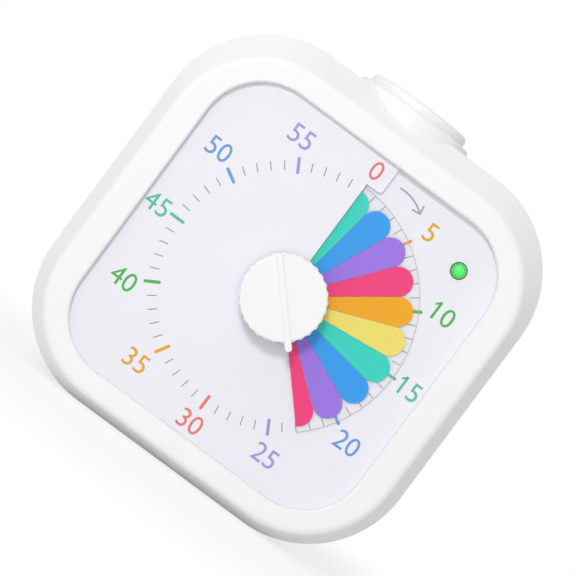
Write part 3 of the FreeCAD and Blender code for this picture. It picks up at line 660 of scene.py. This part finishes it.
class TIMER_OT_disc(bpy.types.Operator):
    """Finishes the clear disc and adds its coloured petals"""
    bl_idname = "timer.disc"
    bl_label = "Colour disc"

    def execute(self, context):
        settings = context.scene.timer_petals
        paint(frame["nodes"]["colour_disc"],
              clear_film("clear film", FILM_WHITE, alpha=0.05, roughness=0.12))
        self.film_edge()
        step = 360 / settings.count
        half = math.radians(step / 2)
        tip_centre = settings.tip_radius / (1 + math.sin(half))
        tip = tip_centre * math.sin(half) - settings.seam / 2
        films = [tinted_film("petal " + str(n), colour, settings.body)
                 for n, colour in enumerate(PETAL_COLOURS)]
        carrier = clear_film("petal carrier", FILM_WHITE, alpha=0.03, roughness=0.3)
        start = SET_ANGLE - 360
        first = math.degrees(settings.first_centre)
        lowest = math.floor((start - first) / step)
        for k in range(lowest, lowest + settings.count + 2):
            middle = first + k * step
            if middle + step / 2 <= start or middle - step / 2 >= SET_ANGLE:
                continue
            petal = self.petal(settings, middle, tip_centre, tip, half,
                               max(start, middle - step / 2), min(SET_ANGLE, middle + step / 2))
            petal.name = "petal_" + str(k - lowest).zfill(2)
            dress(petal, "disc", films[k % len(films)])
            petal.data.materials.append(carrier)
            for face in petal.data.polygons:
                face.material_index = 0 if face.normal.y < -0.5 else 1
        return {"FINISHED"}

    def film_edge(self):
        """The film's cut edge round its rim, as a fine grey line of painted shade where the clear edge shadows the
        dial.
        """
        inner, outer = DISC_RADIUS - EDGE_WIDTH, DISC_RADIUS
        shape = bmesh.new()
        rows = []
        for n in range(EDGE_STEPS + 1):
            angle = SET_ANGLE - 360 + 360 * n / EDGE_STEPS
            turn = math.radians(angle)
            level = DISC_FRONT + PITCH * angle / 360
            rows.append([shape.verts.new((radius * math.sin(turn), -(level + lift),
                                          DIAL_CENTRE.z + radius * math.cos(turn)))
                         for radius, lift in ((inner, EDGE_LOW), (outer, EDGE_LOW),
                                              (outer, EDGE_HIGH), (inner, EDGE_HIGH))])
        for row, following in zip(rows, rows[1:]):
            for n in range(4):
                shape.faces.new((row[n], row[(n + 1) % 4], following[(n + 1) % 4], following[n]))
        shape.faces.new(rows[0])
        shape.faces.new(list(reversed(rows[-1])))
        edge = turn_outward(add_shape("film_edge", shape))
        # The grey of this line is painted shade, darker than the clear film itself
        dress(edge, "disc",
              clear_film("film edge", srgb(196, 196, 206), alpha=0.75, roughness=0.3))

    def petal(self, settings, middle, tip_centre, tip, half, first_edge, last_edge):
        """One petal between two radial edges, following the disc's climb."""
        side = settings.seam / 2
        # The straight sides end where they touch the round tip
        last = tip_centre * math.cos(half) ** 2
        right = []
        for n in range(PETAL_SIDE_STEPS + 1):
            along = settings.root_radius + (last - settings.root_radius) * n / PETAL_SIDE_STEPS
            right.append((along, along * math.tan(half) - side))
        arc = []
        for n in range(1, PETAL_TIP_STEPS):
            angle = -half + (math.pi + 2 * half) * n / PETAL_TIP_STEPS
            arc.append((tip_centre + tip * math.sin(angle), tip * math.cos(angle)))
        outline = right + arc + [(along, -across) for along, across in reversed(right)]
        shape = bmesh.new()
        base = [shape.verts.new((across, 0, along)) for along, across in outline]
        shape.faces.new(base)
        bmesh.ops.rotate(shape, verts=shape.verts, cent=(0, 0, 0),
                         matrix=Matrix.Rotation(math.radians(middle), 3, "Y"))
        for edge_angle, keep in ((first_edge, 1), (last_edge, -1)):
            turn = math.radians(edge_angle)
            normal = Vector((math.cos(turn), 0, -math.sin(turn))) * keep
            bmesh.ops.bisect_plane(shape, geom=shape.verts[:] + shape.edges[:] + shape.faces[:],
                                   plane_co=(0, 0, 0), plane_no=-normal, clear_outer=True)
        petal = add_shape("petal", shape)
        select_only(petal)
        bpy.ops.object.mode_set(mode="EDIT")
        bpy.ops.mesh.select_all(action="SELECT")
        bpy.ops.mesh.quads_convert_to_tris()
        thickness = PETAL_HIGH - PETAL_LOW
        bpy.ops.mesh.extrude_region_move(TRANSFORM_OT_translate={"value": (0, -thickness, 0)})
        bpy.ops.object.mode_set(mode="OBJECT")
        for vertex in petal.data.vertices:
            x, z = vertex.co.x, vertex.co.z
            angle = math.degrees(math.atan2(x, z))
            angle += 360 * round((middle - angle) / 360)
            lift = PETAL_HIGH if vertex.co.y < -thickness / 2 else PETAL_LOW
            vertex.co.y = -(DISC_FRONT + PITCH * angle / 360 + lift)
            vertex.co.z += DIAL_CENTRE.z
        return turn_outward(petal)


# Lamp

# How far from the middle of the lens the painted shade of the bore has fully darkened its green
LENS_SHADE_REACH = 3.0 * MM


class TIMER_OT_lamp(bpy.types.Operator):
    """Finishes the lamp, its lens darkened towards the rim by painted shade of the bore"""
    bl_idname = "timer.lamp"
    bl_label = "Lamp"

    def execute(self, context):
        material, nodes, links, shader = new_material("lamp lens")
        apart = nodes.new("ShaderNodeVectorMath")
        apart.operation = "DISTANCE"
        apart.inputs[1].default_value = ((LAMP_BOX[0][0] + LAMP_BOX[1][0]) / 2, LAMP_BOX[0][1],
                                         (LAMP_BOX[0][2] + LAMP_BOX[1][2]) / 2)
        links.new(object_place(nodes), apart.inputs[0])
        reach = nodes.new("ShaderNodeMapRange")
        reach.inputs["From Max"].default_value = LENS_SHADE_REACH
        links.new(apart.outputs["Value"], reach.inputs["Value"])
        # Painted shade: the lens's green darkens from its bright middle to a dark rim, where the bore shades it
        ramp = nodes.new("ShaderNodeValToRGB")
        links.new(reach.outputs["Result"], ramp.inputs["Fac"])
        ramp.color_ramp.elements[0].color = (*srgb(60, 255, 96), 1)
        ramp.color_ramp.elements[0].position = 0.4
        ramp.color_ramp.elements[1].color = (*srgb(6, 140, 34), 1)
        ramp.color_ramp.elements[1].position = 0.95
        links.new(ramp.outputs["Color"], shader.inputs["Base Color"])
        shader.inputs["Roughness"].default_value = 0.08
        shader.inputs["Coat Weight"].default_value = 1.0
        shader.inputs["Emission Color"].default_value = (*srgb(20, 255, 60), 1)
        shader.inputs["Emission Strength"].default_value = 0.08
        paint(frame["nodes"]["led_lamp"], material)
        return {"FINISHED"}


# Stage

FLOOR_SIZE = 6.0
# The floor's own white, seen by the camera, grows from the timer's foot outwards
FLOOR_GLOW_START, FLOOR_GLOW_END = 0.07, 0.16
FLOOR_GLOW_AT_FOOT = 0.72
WORLD_STRENGTH = 0.52

# Name, place from the dial's centre, size and power of each lamp
STUDIO_LAMPS = (("key", (-0.38, -1.3, 0.44), 0.22, 6.6),
                ("fill", (-0.6, -1.2, -0.5), 0.9, 2.4),
                ("upper", (-0.7, -0.55, 1.2), 1.1, 3.0))

SENSOR_WIDTH = 36.0
# Where the dial's centre lies in the picture, in pixels of its square frame
PICTURE_PIXELS = 576
DIAL_PIXEL_X, DIAL_PIXEL_Y = 283.3, 296.6


class TIMER_OT_stage(bpy.types.Operator):
    """Adds the floor, the lights and the camera"""
    bl_idname = "timer.stage"
    bl_label = "Stage"

    def execute(self, context):
        settings = context.scene.timer_stage
        self.floor()
        self.world()
        self.lights()
        self.camera(settings)
        context.scene.view_settings.view_transform = "Standard"
        return {"FINISHED"}

    def floor(self):
        deselect()
        bpy.ops.mesh.primitive_plane_add(size=FLOOR_SIZE, location=(0, 0, 0))
        floor = bpy.context.object
        floor.name = "floor"
        material, nodes, links, shader = new_material("white floor")
        shader.inputs["Base Color"].default_value = (0.97, 0.97, 0.97, 1)
        shader.inputs["Roughness"].default_value = 0.9
        shader.inputs["Specular IOR Level"].default_value = 0.0
        reach = nodes.new("ShaderNodeVectorMath")
        reach.operation = "LENGTH"
        links.new(object_place(nodes), reach.inputs[0])
        fade = nodes.new("ShaderNodeMapRange")
        fade.inputs["From Min"].default_value = FLOOR_GLOW_START
        fade.inputs["From Max"].default_value = FLOOR_GLOW_END
        fade.inputs["To Min"].default_value = FLOOR_GLOW_AT_FOOT
        links.new(reach.outputs["Value"], fade.inputs["Value"])
        path = nodes.new("ShaderNodeLightPath").outputs
        seen = arithmetic(nodes, links, "MAXIMUM", path["Is Camera Ray"],
                          path["Is Transmission Ray"])
        amount = arithmetic(nodes, links, "MULTIPLY", seen, fade.outputs["Result"])
        glow = nodes.new("ShaderNodeEmission")
        glow.inputs["Strength"].default_value = 1.0
        shader_mix(nodes, links, amount, shader.outputs["BSDF"], glow.outputs["Emission"],
                   nodes["Material Output"])
        paint(floor, material)

    def world(self):
        world = bpy.data.worlds.new("studio")
        bpy.context.scene.world = world
        world.use_nodes = True
        nodes, links = world.node_tree.nodes, world.node_tree.links
        soft = nodes["Background"]
        white = nodes.new("ShaderNodeBackground")
        for background, strength in ((soft, WORLD_STRENGTH), (white, 1.0)):
            background.inputs["Color"].default_value = (1, 1, 1, 1)
            background.inputs["Strength"].default_value = strength
        path = nodes.new("ShaderNodeLightPath").outputs
        mirrored = arithmetic(nodes, links, "MAXIMUM", path["Is Glossy Ray"],
                              path["Is Transmission Ray"])
        seen = arithmetic(nodes, links, "MAXIMUM", path["Is Camera Ray"], mirrored)
        shader_mix(nodes, links, seen, soft.outputs["Background"], white.outputs["Background"],
                   nodes["World Output"])

    def lights(self):
        for name, direction, size, power in STUDIO_LAMPS:
            light = bpy.data.lights.new(name, "AREA")
            light.size = size
            light.energy = power
            lamp = add_object(name, light)
            lamp.location = DIAL_CENTRE + Vector(direction)
            lamp.rotation_mode = "QUATERNION"
            lamp.rotation_quaternion = (-Vector(direction)).to_track_quat("-Z", "Y")

    def camera(self, settings):
        data = bpy.data.cameras.new("camera")
        data.sensor_width = SENSOR_WIDTH
        data.lens = SENSOR_WIDTH * settings.distance / settings.picture_width
        camera = add_object("camera", data)
        azimuth, elevation = settings.azimuth, settings.elevation
        out = Vector((math.sin(azimuth) * math.cos(elevation),
                      -math.cos(azimuth) * math.cos(elevation), math.sin(elevation)))
        level = Vector((math.cos(azimuth), math.sin(azimuth), 0))
        above = out.cross(level)
        roll = settings.roll
        right = level * math.cos(roll) + above * math.sin(roll)
        up = above * math.cos(roll) - level * math.sin(roll)
        pixel = settings.picture_width / PICTURE_PIXELS
        face = Vector((DIAL_CENTRE.x, -(DIAL_LOW + PITCH / 2), DIAL_CENTRE.z))
        aim = (face - right * (DIAL_PIXEL_X - PICTURE_PIXELS / 2) * pixel
               + up * (DIAL_PIXEL_Y - PICTURE_PIXELS / 2) * pixel)
        eye = aim + out * settings.distance
        camera.matrix_world = Matrix((
            (right.x, up.x, out.x, eye.x),
            (right.y, up.y, out.y, eye.y),
            (right.z, up.z, out.z, eye.z),
            (0, 0, 0, 1),
        ))
        data.clip_start, data.clip_end = 0.01, 20
        bpy.context.scene.camera = camera


class TIMER_PT_panel(bpy.types.Panel):
    bl_label = "Countdown timer"
    bl_idname = "TIMER_PT_panel"
    bl_space_type = "VIEW_3D"
    bl_region_type = "UI"
    bl_category = "Timer"

    def draw(self, context):
        for step in STEPS:
            self.layout.operator(step.bl_idname)


STEPS = (TIMER_OT_casing, TIMER_OT_dial, TIMER_OT_disc, TIMER_OT_lamp, TIMER_OT_stage)
SETTINGS = {"timer_casing": TimerCasingSettings, "timer_dial": TimerDialSettings,
            "timer_petals": TimerPetalSettings, "timer_stage": TimerStageSettings}


def register():
    for group in SETTINGS.values():
        bpy.utils.register_class(group)
    for name, group in SETTINGS.items():
        setattr(bpy.types.Scene, name, PointerProperty(type=group))
    for step in STEPS:
        bpy.utils.register_class(step)
    bpy.utils.register_class(TIMER_PT_panel)


def unregister():
    bpy.utils.unregister_class(TIMER_PT_panel)
    for step in reversed(STEPS):
        bpy.utils.unregister_class(step)
    for name in SETTINGS:
        delattr(bpy.types.Scene, name)
    for group in SETTINGS.values():
        bpy.utils.unregister_class(group)


def main():
    register()
    for step in STEPS:
        group, name = step.bl_idname.split(".")
        getattr(getattr(bpy.ops, group), name)()


if __name__ == "__main__":
    main()
